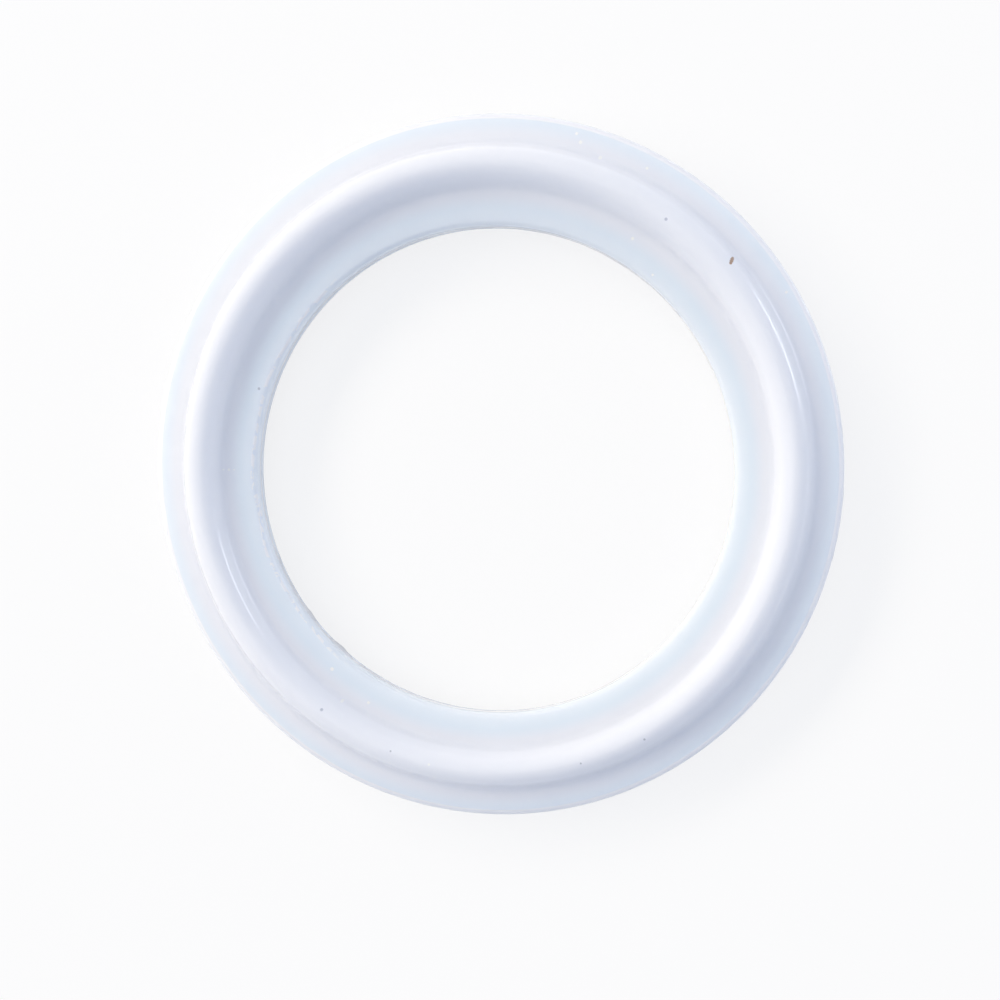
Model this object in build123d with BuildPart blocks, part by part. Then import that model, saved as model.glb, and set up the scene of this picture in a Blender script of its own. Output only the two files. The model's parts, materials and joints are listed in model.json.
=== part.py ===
"""Sanitary clamp gasket for 1 1/2 inch (38 mm) tube, in silicone rubber.

One moulded ring.  A flat land lies between the faces of two clamp ferrules, and a
round-topped bead on each side of it seats in the ferrules' grooves, which centres the
ring.  Both beads stand on the same circle, so the section is the same above and below.

The ring lies flat, with its axis along Z and its origin at the middle of the bore,
halfway through the land.  All sizes are in millimetres and degrees.
"""

import os

from build123d import *

# Driving dimensions: the ring seen from above
rim_diameter = 50.5  # outside of the ferrule's flange
bore_diameter = 35.2  # inside of the tube, so that the ring leaves no ledge or pocket
bead_circle_diameter = 43.5  # middle of the groove in the ferrule's face

# Driving dimensions: the moulded section
land_thickness = 1.8  # between the two flat faces
bead_height = 1.4  # from the land to the top of a bead
crest_radius = 1.2  # rounded top of a bead
flank_angle = 30  # how far each side of a bead leans, so that it leaves the mould
edge_break = 0.2  # softened corners of the land, at the bore and at the rim
foot_break = 0.2  # softened corner between a bead and the land

# Worked out from them
land_width = (rim_diameter - bore_diameter) / 2
land_middle = (rim_diameter + bore_diameter) / 4
land_top = land_thickness / 2
crest_centre = (bead_circle_diameter / 2, land_top + bead_height - crest_radius)

with BuildPart() as gasket:
    with BuildSketch(Plane.XZ) as section:
        # the land, a flat strip from the bore to the rim
        with Locations((land_middle, 0)):
            Rectangle(land_width, land_thickness)

        # a bead on the upper face: its crest, then a flank on each side down to the land
        with BuildLine():
            crest = CenterArc(crest_centre, crest_radius, flank_angle, 180 - 2 * flank_angle)
            drop = (crest @ 0).Y - land_top
            outer_flank = PolarLine(
                crest @ 0, drop, flank_angle - 90, length_mode=LengthMode.VERTICAL
            )
            inner_flank = PolarLine(
                crest @ 1, drop, 270 - flank_angle, length_mode=LengthMode.VERTICAL
            )
            Line(inner_flank @ 1, outer_flank @ 1)
        make_face()

        # and its twin on the lower face
        mirror(about=Plane.XZ)

        # the corners on the land's two faces, from left to right: bore, feet, rim
        corners = [
            vertex
            for vertex in section.vertices()
            if abs(abs(vertex.Y) - land_top) < 1e-6
        ]
        bore, inner_feet, outer_feet, rim = ShapeList(corners).group_by(Axis.X)
        chamfer(inner_feet + outer_feet, length=foot_break)
        chamfer(bore + rim, length=edge_break)

    revolve(axis=Axis.Z)

gasket.part.label = "gasket"

os.makedirs("parts", exist_ok=True)
export_step(gasket.part, "parts/gasket.step")

print("bead width at the land:", round((outer_flank @ 1).X - (inner_flank @ 1).X, 2))
print("volume in cubic millimetres:", round(gasket.part.volume, 1))
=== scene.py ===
# %% [markdown]
# # A silicone clamp gasket, shaped and finished
#
# The real part is one soft ring, pressed between two steel ferrules in a food or
# pharmacy pipeline.  It is moulded in one shot: two halves of a mould close on a lump
# of silicone, and what squeezes out between them leaves a thin fin around the part.
# This lesson builds the ring from a small section, gives it a milky rubber, and lights
# it softly.  All lengths are in metres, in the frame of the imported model.

# %% Frame and tools
import json
import math

import bmesh
import bpy
from mathutils import Matrix, Vector, noise

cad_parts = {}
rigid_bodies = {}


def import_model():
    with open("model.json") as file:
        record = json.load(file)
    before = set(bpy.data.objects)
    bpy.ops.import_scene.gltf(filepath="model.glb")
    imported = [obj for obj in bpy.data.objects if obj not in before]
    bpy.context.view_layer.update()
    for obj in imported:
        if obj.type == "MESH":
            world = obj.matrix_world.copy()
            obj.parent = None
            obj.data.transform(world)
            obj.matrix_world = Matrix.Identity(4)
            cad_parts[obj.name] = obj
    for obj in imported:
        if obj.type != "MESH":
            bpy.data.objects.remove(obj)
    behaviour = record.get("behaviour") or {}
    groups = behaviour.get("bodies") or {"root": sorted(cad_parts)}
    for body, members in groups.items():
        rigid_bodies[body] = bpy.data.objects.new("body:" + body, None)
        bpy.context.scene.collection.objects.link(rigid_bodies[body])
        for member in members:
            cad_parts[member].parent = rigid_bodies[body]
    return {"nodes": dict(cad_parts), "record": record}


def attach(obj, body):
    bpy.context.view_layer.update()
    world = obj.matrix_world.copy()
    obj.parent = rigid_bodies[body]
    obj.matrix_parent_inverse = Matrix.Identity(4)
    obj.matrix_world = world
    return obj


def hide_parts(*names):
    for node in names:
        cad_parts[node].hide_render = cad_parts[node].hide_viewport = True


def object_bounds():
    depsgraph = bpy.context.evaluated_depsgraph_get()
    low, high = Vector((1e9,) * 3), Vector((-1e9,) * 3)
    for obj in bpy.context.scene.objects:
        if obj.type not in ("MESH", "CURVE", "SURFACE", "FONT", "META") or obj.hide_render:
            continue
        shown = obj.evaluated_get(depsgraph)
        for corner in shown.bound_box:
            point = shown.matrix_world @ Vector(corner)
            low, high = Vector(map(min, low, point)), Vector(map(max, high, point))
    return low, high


MM = 0.001
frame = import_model()
cad_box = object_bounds()
print("pieces in the frame:", sorted(frame["nodes"]))

# %% [markdown]
# ## The sizes that the frame gives
#
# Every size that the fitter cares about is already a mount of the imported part: the
# bore, the rim, the flat lands and the crest of the bead.  They could be typed in once
# more, but read from there they keep the dressed ring and the solid ring the same.

# %% Sizes from the mounts
mounts = {mount["name"]: mount for mount in frame["record"]["mounts"]}
bore_radius = mounts["bore"]["dims"]["r_mm"] * MM
rim_radius = mounts["rim"]["dims"]["r_mm"] * MM
land_top = mounts["upper_inner_land"]["pos_m"][2]
bead_radius = mounts["upper_bead"]["pos_m"][0]
bead_top = mounts["upper_bead"]["pos_m"][2]
floor_height = cad_box[0].z
print(f"bore {bore_radius:.4f}, rim {rim_radius:.4f}, bead on {bead_radius:.4f}")

# %% [markdown]
# ## Half of the outline
#
# A ring is a section carried round an axis.  The section has few corners: the bore,
# the two feet of the bead, its two shoulders, and the rim.  Only the upper half is
# written down, because both faces of the gasket are alike.  A shoulder lies where the
# flank's line meets the level of the crest, so rounding it later gives the crest back.

# %% Corners of the upper half
crest_radius = 1.2 * MM
flank_lean = math.radians(30)
fin_height = 0.05 * MM

shoulder = crest_radius * math.tan((math.pi / 2 - flank_lean) / 2)
foot = shoulder + (bead_top - land_top) * math.tan(flank_lean)

half_outline = [
    (bore_radius, fin_height),
    (bore_radius, land_top),
    (bead_radius - foot, land_top),
    (bead_radius - shoulder, bead_top),
    (bead_radius + shoulder, bead_top),
    (bead_radius + foot, land_top),
    (rim_radius, land_top),
    (rim_radius, fin_height),
]
print(f"the bead is {2 * foot / MM:.2f} mm wide at the land")

# %% [markdown]
# ## The whole section, still sharp
#
# `mirror` gives the lower half.  At mid-height, where the two halves of the mould meet,
# one more point closes each wall: it will become the edge of the fin.

# %% Sharp section
same_spot = 1e-9


def points_at(section, x, z):
    """The points of the section at that distance from the axis, z above and z below."""
    return [
        point
        for point in section.verts
        if abs(point.co.x - x) < same_spot and abs(abs(point.co.z) - z) < same_spot
    ]


def draw_section():
    """The gasket's section as one flat face in the XZ plane, with sharp corners."""
    section = bmesh.new()
    points = [section.verts.new((x, 0, z)) for x, z in half_outline]
    for start, end in zip(points, points[1:]):
        section.edges.new((start, end))
    upper_half = section.verts[:] + section.edges[:]
    bmesh.ops.mirror(section, geom=upper_half, axis="Z", merge_dist=0)
    for radius in (bore_radius, rim_radius):
        parting = section.verts.new((radius, 0, 0))
        for end in points_at(section, radius, fin_height):
            section.edges.new((parting, end))
    bmesh.ops.contextual_create(section, geom=section.edges[:])
    bmesh.ops.recalc_face_normals(section, faces=section.faces)
    return section


section = draw_section()
print("sharp section:", len(section.verts), "points round")

# %% [markdown]
# ## Rounded corners
#
# Moulded rubber has no sharp corner, and light shows each round one as a soft line.
# The arcs could be written into the outline, but `bevel` on its points takes fewer
# sums: an arc of a radius starts as far from its corner as its tangent is long.

# %% Rounded section
foot_round = 0.5 * MM
bore_round = 0.35 * MM
rim_round = 0.2 * MM
right_angle = math.pi / 2
# the crest's two arcs stop just short of each other, so that no point comes twice
nearly_whole = 0.999


def tangent_length(radius, turn):
    """How far from a corner an arc of that radius starts, where the outline turns."""
    return radius * math.tan(turn / 2)


def round_off(section, radii, z, offset, segments):
    """Rounds the corners at those distances from the axis, on both faces."""
    bmesh.ops.bevel(
        section,
        geom=[point for x in radii for point in points_at(section, x, z)],
        affect="VERTICES",
        offset=offset,
        offset_type="OFFSET",
        segments=segments,
        profile=0.5,
        material=-1,
    )


shoulders = (bead_radius - shoulder, bead_radius + shoulder)
feet = (bead_radius - foot, bead_radius + foot)
round_off(section, shoulders, bead_top, shoulder * nearly_whole, segments=9)
round_off(section, feet, land_top, tangent_length(foot_round, right_angle - flank_lean), segments=5)
round_off(section, [bore_radius], land_top, tangent_length(bore_round, right_angle), segments=7)
round_off(section, [rim_radius], land_top, tangent_length(rim_round, right_angle), segments=6)
area = sum(face.calc_area() for face in section.faces)
print("rounded section:", len(section.verts), f"points round {area / MM**2:.2f} mm2")

# %% [markdown]
# ## Carrying the section round
#
# `spin` sweeps the outline through an eighth of a turn, and three copies, each turned
# by what is already there, close the ring.  That is far quicker than one long spin.
# The lands are long and flat beside tight curves, so their edges are cut up first:
# otherwise the smooth shading of the curves would smear across them.

# %% Spin the ring
eighth = math.pi / 4
steps_in_eighth = 66
longest_edge = 0.2 * MM
seam_gap = 0.0001 * MM


def cut_long_edges(section):
    """Cuts the outline's edges until none is longer than the longest one wanted."""
    for edge in section.edges[:]:
        cuts = math.ceil(edge.calc_length() / longest_edge) - 1
        if cuts > 0:
            bmesh.ops.subdivide_edges(section, edges=[edge], cuts=cuts)


def spin_ring(section):
    """Turns the flat section into the closed ring."""
    bmesh.ops.delete(section, geom=section.faces[:], context="FACES_ONLY")
    cut_long_edges(section)
    outline = section.verts[:] + section.edges[:]
    bmesh.ops.spin(
        section, geom=outline, cent=(0, 0, 0), axis=(0, 0, 1), angle=eighth, steps=steps_in_eighth
    )
    for turn in (eighth, 2 * eighth, 4 * eighth):
        whole = section.verts[:] + section.edges[:] + section.faces[:]
        copied = bmesh.ops.duplicate(section, geom=whole)["geom"]
        points = [part for part in copied if isinstance(part, bmesh.types.BMVert)]
        about_axis = Matrix.Rotation(turn, 3, "Z")
        bmesh.ops.rotate(section, verts=points, cent=(0, 0, 0), matrix=about_axis)
    bmesh.ops.remove_doubles(section, verts=section.verts, dist=seam_gap)
    bmesh.ops.recalc_face_normals(section, faces=section.faces)
    return section


ring = spin_ring(section)
print("ring:", len(ring.faces), "faces, closed:", all(edge.is_manifold for edge in ring.edges))

# %% [markdown]
# ## The fin
#
# The fin at the parting line is trimmed by hand, so it stands a little here and is torn
# there.  It could be a strip of its own, but it is one with the rubber, so the points
# of the parting line are moved out of their wall.  Noise that depends only on the place
# moves them, so every run gives the same ring.

# %% Trim the fin
at_mid_height = 1e-8
fin_reach = 0.07 * MM
usual_stand = 0.7
least_stand = 0.1
stand_swing = 0.5
slow_lumps = 40
quick_lumps = 300

torn_reach = 0.17 * MM
torn_azimuth = math.radians(-137)
torn_spread = math.radians(22)
torn_stand = 0.6
torn_swing = 1.2
torn_lumps = 90
torn_seed = 3


def around(co, lumps, seed):
    """Noise from -1 to 1 that runs round the ring, with about that many lumps a turn."""
    angle = math.atan2(co.y, co.x)
    spread = lumps / (2 * math.pi)
    return noise.noise(Vector((spread * math.cos(angle), spread * math.sin(angle), seed)))


def torn(co):
    """1 in the middle of the stretch of the bore where the fin was torn, 0 away from it."""
    angle = math.atan2(co.y, co.x) - torn_azimuth
    return math.exp(-((angle / torn_spread) ** 2))


def fin_stand(co, outward):
    """How far the fin stands out of the rim's wall (outward 1) or the bore's (outward -1)."""
    stand = usual_stand + stand_swing * around(co, slow_lumps, outward)
    stand += stand_swing * around(co, quick_lumps, outward)
    reach = fin_reach * max(least_stand, stand)
    if outward < 0:
        ragged = torn_stand + torn_swing * around(co, torn_lumps, torn_seed)
        reach += torn_reach * torn(co) * ragged
    return max(0, reach)


def trim_fin(ring):
    """Pushes the parting line out of each wall by an uneven amount."""
    for point in ring.verts:
        if abs(point.co.z) > at_mid_height:
            continue
        radius = point.co.xy.length
        outward = 1 if radius > bead_radius else -1
        new_radius = radius + outward * fin_stand(point.co, outward)
        point.co.x *= new_radius / radius
        point.co.y *= new_radius / radius


trim_fin(ring)
reached = [point.co.xy.length for point in ring.verts]
fin_at_rim = (max(reached) - rim_radius) / MM
fin_at_bore = (bore_radius - min(reached)) / MM
print(f"the fin reaches {fin_at_rim:.2f} mm at the rim and {fin_at_bore:.2f} mm at the bore")

# %% [markdown]
# ## The slack
#
# A soft ring is never quite flat.  Both faces roll by about a hundredth of a
# millimetre, which is too little to measure and enough to bend a reflection.

# %% Let the faces roll
slack_height = 0.015 * MM
slack_lumps = 14
slack_seed = 5


def slacken(ring):
    """Lets both faces roll, the crest the most and the parting line not at all."""
    for point in ring.verts:
        share = point.co.z / bead_top
        point.co.z += slack_height * around(point.co, slack_lumps, slack_seed) * share


slacken(ring)
print(f"the crest rises to {max(point.co.z for point in ring.verts) / MM:.3f} mm")

# %% [markdown]
# ## The ring as an object
#
# The object stays at the origin, with its place in its mesh.  Then the finish can read
# distances from the axis straight from the object's own coordinates.  The faces are
# shaded smooth, because the outline already has a short edge wherever it turns.

# %% Ring object
mesh = bpy.data.meshes.new("silicone_ring")
ring.to_mesh(mesh)
ring.free()
mesh.polygons.foreach_set("use_smooth", [True] * len(mesh.polygons))
silicone_ring = bpy.data.objects.new("silicone_ring", mesh)
bpy.context.scene.collection.objects.link(silicone_ring)
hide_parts("gasket")
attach(silicone_ring, "root")
print("triangles in the ring:", sum(len(p.vertices) - 2 for p in mesh.polygons))

# %% [markdown]
# ## Writing shader maths as expressions
#
# A node tree is easier to read as arithmetic.  `Wire` wraps one output socket, and each
# operator on it adds the Math node that does the sum, also when the number comes first,
# as in `1 - mask`.

# %% Wires between nodes


class Wire:
    """A value in a node tree, which can be added, multiplied and so on."""

    def __init__(self, finish, socket):
        self.finish = finish
        self.socket = socket

    def math(self, operation, *others):
        """A Math node that does the operation on this value and the others."""
        return self.finish.node("ShaderNodeMath", {"operation": operation}, (self, *others))

    def out(self, name):
        """Another output of the same node."""
        return Wire(self.finish, self.socket.node.outputs[name])

    def __add__(self, other):
        return self.math("ADD", other)

    __radd__ = __add__

    def __mul__(self, other):
        return self.math("MULTIPLY", other)

    __rmul__ = __mul__

    def __sub__(self, other):
        return self.math("SUBTRACT", other)

    def __rsub__(self, other):
        return self.finish.node("ShaderNodeMath", {"operation": "SUBTRACT"}, (other, self))

    def __abs__(self):
        return self.math("ABSOLUTE")


print("a wire can be used with: + - * and abs")

# %% [markdown]
# ## One method for every other node
#
# `node` takes a node's type, its settings, and then what goes into its sockets: numbers
# are set and wires are linked.  On top of it stand the three shapes that come back
# most: a blend of two colours, a mask with a soft border, and soft noise.

# %% Start of the silicone


class Finish:
    """A material or a world while its nodes are being added."""

    def __init__(self, owner):
        self.owner = owner
        owner.use_nodes = True
        self.tree = owner.node_tree
        self.tree.nodes.clear()

    def node(self, kind, settings=(), values=(), output=0):
        """Adds a node: its settings first, then its sockets by name or in order."""
        made = self.tree.nodes.new(kind)
        for key, value in dict(settings).items():
            setattr(made, key, value)
        named = values.items() if isinstance(values, dict) else enumerate(values)
        for key, value in named:
            if isinstance(value, Wire):
                self.tree.links.new(value.socket, made.inputs[key])
            else:
                made.inputs[key].default_value = value
        return Wire(self, made.outputs[output]) if made.outputs else None

    def mix(self, factor, a, b):
        """The colour a where factor is 0, and b where it is 1."""
        # a Mix node has sockets for every kind of value: 6, 7 and output 2 are the colours
        return self.node("ShaderNodeMix", {"data_type": "RGBA"}, {0: factor, 6: a, 7: b}, output=2)

    def band(self, value, low, high):
        """0 below low and 1 above high, with a smooth rise between them."""
        settings = {"interpolation_type": "SMOOTHSTEP"}
        limits = {"Value": value, "From Min": low, "From Max": high}
        return self.node("ShaderNodeMapRange", settings, limits)

    def soft_noise(self, place, scale, detail):
        """Noise around 0.5, with about that many lumps to a metre."""
        values = {"Vector": place, "Scale": scale, "Detail": detail}
        return self.node("ShaderNodeTexNoise", {}, values)

    def surface(self, shader, kind="ShaderNodeOutputMaterial"):
        """Ends the tree with the shader, and gives back the material or the world."""
        self.node(kind, {}, {"Surface": shader})
        return self.owner


silicone = Finish(bpy.data.materials.new("milky_silicone"))
print("started:", silicone.owner.name)

# %% [markdown]
# ## Where on the ring
#
# The whole finish hangs on a few measures of the place: the height, the distance from
# the axis, the distance from the crest of the bead, and the angle round the ring, here
# counted from its far left.  They could be painted as maps, but sums stay sharp.

# %% Measures on the ring
place = silicone.node("ShaderNodeTexCoord", output="Object")
flat = silicone.node("ShaderNodeVectorMath", {"operation": "MULTIPLY"}, (place, (1, 1, 0)))
radius = silicone.node("ShaderNodeVectorMath", {"operation": "LENGTH"}, (flat,), output="Value")
from_crest = abs(radius - bead_radius)

x = silicone.node("ShaderNodeSeparateXYZ", {}, (place,))
y = x.out("Y")
z = x.out("Z")
from_middle = abs(z)
upper = z.math("GREATER_THAN", 0.0)
from_left = y.math("ARCTAN2", -1 * x)
print("nodes after the measures:", len(silicone.tree.nodes))

# %% [markdown]
# ## The milky body
#
# Translucent silicone lets light in and scatters it back, so the thick bead looks white
# and the thin land looks cooler.  Scattering alone would give that too, but then the
# land takes its colour from whatever it lies on, so its cool tint is set here by how
# far a point is from the crest.  Slow clouds keep the rubber from looking like paint.

# %% Tints of the bead and the land
land_tint = (0.785, 0.865, 0.99, 1)
bead_tint = (0.89, 0.90, 0.99, 1)
cloud_tint = (0.95, 0.97, 1.0, 1)
cloud_share = 0.10
bead_end = 1.9 * MM
land_start = 3.1 * MM

thick = 1 - silicone.band(from_crest, bead_end, land_start)
body = silicone.mix(thick, land_tint, bead_tint)
cloud = silicone.soft_noise(place, scale=260, detail=3)
clouded = silicone.mix(cloud * cloud_share, body, cloud_tint)
print("nodes after the body:", len(silicone.tree.nodes))

# %% [markdown]
# ## The fin and the edge, with painted light
#
# The fin is a film so thin that it passes the light of the table, and the round corner
# of the rim gathers light from above and from the side.  Both are painted into the
# colour as a fine pale line: painted light on the fin, a painted highlight on the corner.
# Their masks are distances and heights, so the lines follow the ring exactly.

# %% Fin and outer corner
wall = rim_radius - bead_radius
wall_skin = 0.02 * MM
film_end = 0.06 * MM
film_gone = 0.20 * MM
edge_start = rim_radius - 0.42 * MM
edge_full = rim_radius - 0.32 * MM
corner_start = 0.60 * MM
corner_full = 0.72 * MM

on_wall = silicone.band(from_crest, wall - wall_skin, wall)
# painted light: the fin is painted pale where it stands out of its wall, as if the table's light
# passed through it
painted_fin_glow = on_wall * (1 - silicone.band(from_middle, film_end, film_gone))
edge = silicone.band(radius, edge_start, edge_full)
# painted highlight: a pale line painted on the rim's round corner
painted_rim_highlight = edge * silicone.band(from_middle, corner_start, corner_full)
print("nodes after the lines:", len(silicone.tree.nodes))

# %% [markdown]
# ## The scuffs and their painted glint
#
# The bore's upper corner was scuffed on the left when the ring was trimmed: a broken
# row of short white dashes, which are scuffs in the relief and the coat and a painted
# glint in the colour.  Noise that is read along the corner makes the dashes, slower
# noise lets their row wander, and masks keep them on their stretch.

# %% Scuffs and a painted glint on the bore's corner
scuff_and_glint_arc = 18 * MM
scuff_and_glint_squeeze = 1.5
scuff_and_glint_radius = bore_radius + 0.24 * MM
scuff_and_glint_sway = 0.7 * MM
row_half = 0.05 * MM
row_gone = 0.15 * MM
stretch_end = 0.75
stretch_gone = 0.95
dash_low = 0.45
dash_high = 0.52
noise_middle = 0.5

unrolled = (from_left * scuff_and_glint_arc, radius * scuff_and_glint_squeeze, z)
along = silicone.node("ShaderNodeCombineXYZ", {}, unrolled)
streak = silicone.soft_noise(along, scale=1700, detail=4)
sway = silicone.soft_noise(along, scale=260, detail=1)
from_row = abs(radius - scuff_and_glint_radius + (sway - noise_middle) * scuff_and_glint_sway)
row = 1 - silicone.band(from_row, row_half, row_gone)
stretch = 1 - silicone.band(abs(from_left), stretch_end, stretch_gone)
# scuffs in the relief and the coat; where this mask lightens the colour, it is a painted glint
scuff_and_glint = row * stretch * silicone.band(streak, dash_low, dash_high) * upper
print("nodes after the scuffs:", len(silicone.tree.nodes))

# %% [markdown]
# ## Where the specks lie
#
# Silicone draws dust.  White specks, darker grit and one short brown fibre lie on the
# upper face, and the fibre is a row of spots that touch.  Tiny meshes would do as well,
# but specks have no height to speak of, so each is a soft spot in the colour.

# %% Specks
# azimuth in degrees, distance from the axis and size across in millimetres
dust = [
    (75, 24.5, 0.22),
    (74, 24.0, 0.26),
    (70, 23.4, 0.30),
    (62, 24.0, 0.20),
    (58, 19.4, 0.24),
    (50, 18.2, 0.18),
    (31, 24.5, 0.22),
    (-130, 18.9, 0.30),
    (-124, 20.3, 0.26),
    (-119, 19.4, 0.24),
    (-102, 21.7, 0.20),
    (179, 19.3, 0.12),
    (179, 19.7, 0.20),
    (179, 20.1, 0.14),
]
grit = [
    (54, 21.6, 0.24),
    (160, 18.3, 0.22),
    (-126, 21.4, 0.24),
    (-59, 22.1, 0.18),
    (-72, 21.9, 0.16),
    (-110, 21.6, 0.16),
]
lint = [
    (40.2, 22.45, 0.22),
    (40.4, 22.58, 0.27),
    (40.6, 22.70, 0.27),
    (40.75, 22.80, 0.20),
]
print("specks:", len(dust), "white and", len(grit), "dark, and a fibre of", len(lint), "spots")

# %% [markdown]
# ## The specks in the colour
#
# A spot is full up to three tenths of its size across and fades out just past its
# half, so it has no hard border.  The kinds of specks are laid over the body in turn.

# %% Specks over the body
speck_core = 0.3
speck_gone = 0.62
dust_tint = (0.99, 0.99, 0.99, 1)
grit_tint = (0.35, 0.37, 0.42, 1)
grit_share = 0.6
lint_tint = (0.42, 0.25, 0.13, 1)
lint_share = 0.9


def spots(marks):
    """1 on each mark of the upper face, 0 elsewhere."""
    cover = 0.0
    for azimuth, distance, across in marks:
        turn = math.radians(azimuth)
        spot = (distance * MM * math.cos(turn), distance * MM * math.sin(turn), 0)
        gap = {"operation": "DISTANCE"}
        away = silicone.node("ShaderNodeVectorMath", gap, (flat, spot), output="Value")
        found = 1 - silicone.band(away, speck_core * across * MM, speck_gone * across * MM)
        cover = found.math("MAXIMUM", cover)
    return cover * upper


dusted = silicone.mix(spots(dust), clouded, dust_tint)
gritty = silicone.mix(spots(grit) * grit_share, dusted, grit_tint)
linty = silicone.mix(spots(lint) * lint_share, gritty, lint_tint)
print("nodes after the specks:", len(silicone.tree.nodes))

# %% [markdown]
# ## The relief
#
# Moulded rubber copies the tool marks of its mould.  They are far too fine for the
# mesh, so a Bump node carries them: a fine grain, a slower ripple, and the scuffs.

# %% Grain, ripple and scuffs
relief_strength = 0.25
relief_height = 0.03 * MM
grain_share = 0.6
ripple_share = 1.5
scuff_relief = 2

grain = silicone.soft_noise(place, scale=2500, detail=4)
ripple = silicone.soft_noise(place, scale=420, detail=2)
bumps = grain * grain_share + ripple * ripple_share + scuff_and_glint * scuff_relief
relief = silicone.node(
    "ShaderNodeBump", {}, {"Strength": relief_strength, "Distance": relief_height, "Height": bumps}
)
print("nodes after the relief:", len(silicone.tree.nodes))

# %% [markdown]
# ## The rubber itself
#
# Scattering below the surface, with a reach of a few millimetres, gives milky rubber
# its glow.  The body is fairly smooth, and a thin coat over it is the skin that a
# polished mould leaves, shinier where a tool has scuffed it.

# %% Silicone
# the near-white of the painted light on the fin, the rim's corner and the scuffs
painted_light_tint = (0.96, 0.98, 1.0, 1)
line_share = 0.9
scatter_reach = 3.0 * MM
smoothest = 0.28
cloud_roughness = 0.12
usual_coat = 0.6
scuff_coat = 0.4
coat_roughness = 0.15
silicone_ior = 1.41

# the pale lines are painted light: a painted glow on the fin, a painted highlight on the rim's
# corner and a painted glint on the scuffs
lines = painted_fin_glow.math("MAXIMUM", scuff_and_glint * line_share).math("MAXIMUM", painted_rim_highlight * line_share)
rubber = silicone.node(
    "ShaderNodeBsdfPrincipled",
    {"subsurface_method": "RANDOM_WALK"},
    {
        "Base Color": silicone.mix(lines, linty, painted_light_tint),
        "Roughness": smoothest + cloud * cloud_roughness,
        "IOR": silicone_ior,
        "Subsurface Weight": 1.0,
        "Subsurface Radius": (1.0, 1.0, 1.0),
        "Subsurface Scale": scatter_reach,
        "Coat Weight": usual_coat + scuff_and_glint * scuff_coat,
        "Coat Roughness": coat_roughness,
        "Normal": relief,
    },
)
silicone_ring.data.materials.append(silicone.surface(rubber))
print("nodes in the silicone:", len(silicone.tree.nodes))

# %% [markdown]
# ## The table
#
# A white sheet under lamps never comes out evenly white, and more light on it would
# burn the ring out.  So the table glows for the camera and for reflections, and the
# rest of it is plain paint, which keeps the ring's soft shadow.

# %% Table
paint_tint = (1.0, 0.985, 0.955, 1)
white = (1, 1, 1, 1)
floor_glow = 0.80
table_half = 1.5


def paint_table():
    """White paint for the lamps, and mostly a plain glow for the camera."""
    finish = Finish(bpy.data.materials.new("white_table"))
    path = finish.node("ShaderNodeLightPath")
    seen = path + path.out("Is Glossy Ray") + path.out("Is Transmission Ray")
    paint = finish.node("ShaderNodeBsdfDiffuse", {}, {"Color": paint_tint})
    glow = finish.node("ShaderNodeEmission", {}, {"Color": white, "Strength": 1.0})
    share = seen.math("MINIMUM", 1.0) * floor_glow
    return finish.surface(finish.node("ShaderNodeMixShader", {}, (share, paint, glow)))


table = bmesh.new()
bmesh.ops.create_grid(table, x_segments=1, y_segments=1, size=table_half)
bmesh.ops.translate(table, verts=table.verts, vec=(0, 0, floor_height))
table_mesh = bpy.data.meshes.new("table")
table.to_mesh(table_mesh)
table.free()
table_mesh.materials.append(paint_table())
table_top = bpy.data.objects.new("table", table_mesh)
bpy.context.scene.collection.objects.link(table_top)
print(f"the table lies {-floor_height / MM:.1f} mm below the ring's mid-height")

# %% [markdown]
# ## The sky
#
# A pale and slightly blue sky fills the shadows, as the walls of a white room do.
# Where the camera looks past the table it sees plain white instead, so that the table
# has no end.

# %% Sky
sky_color = (0.69, 0.78, 1.0)
sky_strength = 0.575


def make_sky():
    """A pale sky that lights the ring, and plain white where the camera looks past the table."""
    finish = Finish(bpy.data.worlds.new("pale_sky"))
    lit = tuple(part * sky_strength for part in sky_color)
    seen = finish.mix(finish.node("ShaderNodeLightPath"), (*lit, 1), white)
    return finish.surface(finish.node("ShaderNodeBackground", {}, (seen,)), "ShaderNodeOutputWorld")


bpy.context.scene.world = make_sky()
print("sky:", bpy.context.scene.world.name)

# %% [markdown]
# ## The lamps
#
# The key lamp is warm and as wide as a window, a metre off and low on the left, so the
# bead throws a soft shadow on the land behind it.  A small cool lamp, very low on the
# right, draws a thin streak along the bead.  A weak one overhead lifts the whole ring.

# %% Lamps


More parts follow.
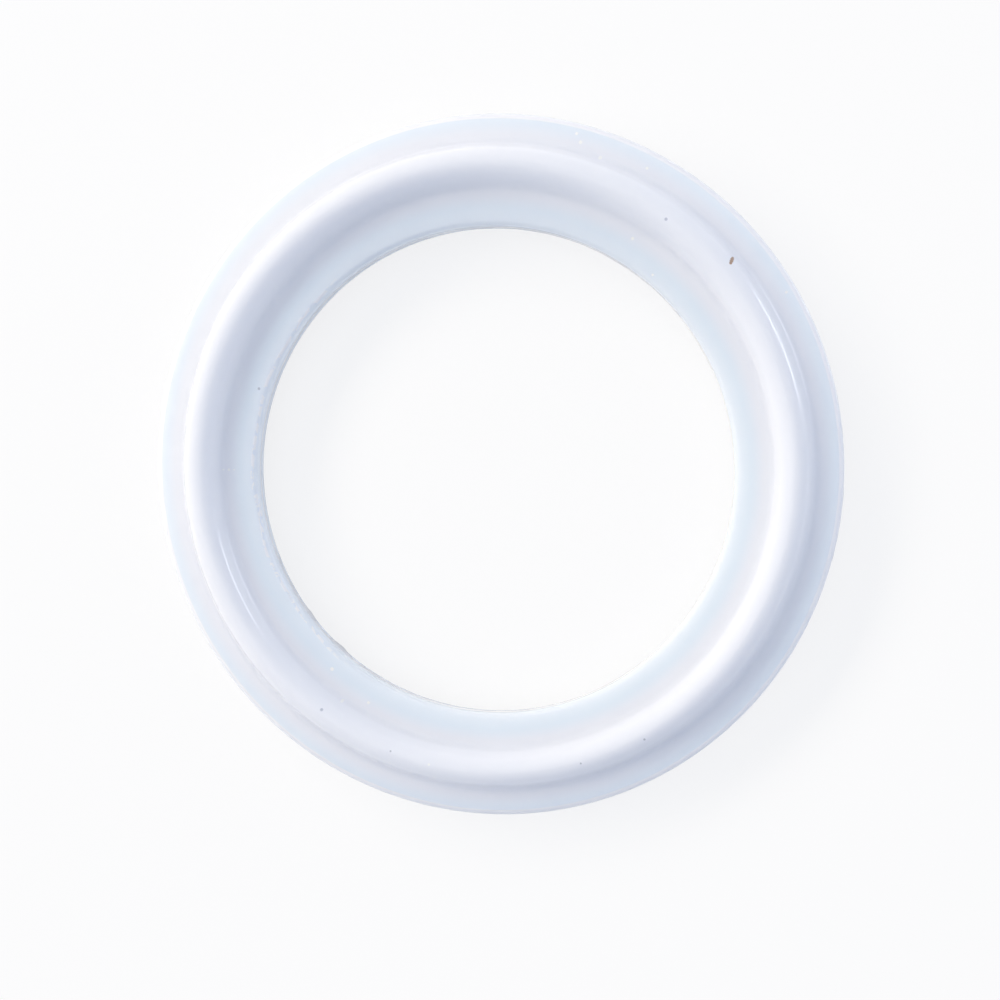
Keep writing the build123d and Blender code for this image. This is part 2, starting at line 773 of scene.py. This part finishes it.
def add_lamp(name, azimuth, rise, distance, width, depth, energy, color):
    """A rectangular lamp that looks at the ring from that direction, with its width level."""
    lamp = bpy.data.lights.new(name, "AREA")
    lamp.shape = "RECTANGLE"
    lamp.size = width
    lamp.size_y = depth
    lamp.energy = energy
    lamp.color = color
    holder = bpy.data.objects.new(name, lamp)
    turn = math.radians(azimuth)
    lift = math.radians(rise)
    away = Vector((math.cos(turn) * math.cos(lift), math.sin(turn) * math.cos(lift), math.sin(lift)))
    holder.location = away * distance
    holder.rotation_euler = away.to_track_quat("Z", "Y").to_euler()
    bpy.context.scene.collection.objects.link(holder)
    return holder


key = add_lamp(
    "key",
    azimuth=151.5,
    rise=30,
    distance=1.0,
    width=1.43,
    depth=0.30,
    energy=9.9,
    color=(1.0, 0.905, 0.755),
)
# the skin is too soft to mirror a lamp that wide as two hard lines
key.visible_glossy = False
back = add_lamp(
    "back",
    azimuth=27,
    rise=6,
    distance=0.35,
    width=0.14,
    depth=0.016,
    energy=0.22,
    color=(0.93, 0.95, 1.0),
)
top = add_lamp(
    "top",
    azimuth=151.5,
    rise=80,
    distance=0.35,
    width=0.30,
    depth=0.30,
    energy=0.10,
    color=(1.0, 1.0, 1.0),
)
print("lamps:", [holder.name for holder in (key, back, top)])

# %% [markdown]
# ## The camera
#
# The camera stands a hand's breadth above the right edge of the bore, so the bore's
# wall shows on the left and hides on the right.  A shift of the lens then moves the
# ring in the frame.  Turning the camera would move it too, but would also stretch one
# side of the ring.

# %% Camera
camera_place = Vector((18.24, 0.91, 93.23)) * MM
camera_aim = Vector((7.17, -9.87, 0)) * MM

camera = bpy.data.cameras.new("camera")
camera.sensor_width = 36
camera.lens = 46.4
camera.shift_x = -0.09
camera.shift_y = 0.11
camera.clip_start = 1 * MM

far_side = Vector((0, 1, 0))
backward = (camera_place - camera_aim).normalized()
right = far_side.cross(backward).normalized()
upward = backward.cross(right)
facing = Matrix((right, upward, backward)).transposed().to_4x4()
tripod = bpy.data.objects.new("camera", camera)
tripod.matrix_world = Matrix.Translation(camera_place) @ facing
bpy.context.scene.collection.objects.link(tripod)
bpy.context.scene.camera = tripod
bpy.context.scene.view_settings.view_transform = "Standard"
print(f"the camera is {camera_place.length / MM:.0f} mm from the middle of the ring")
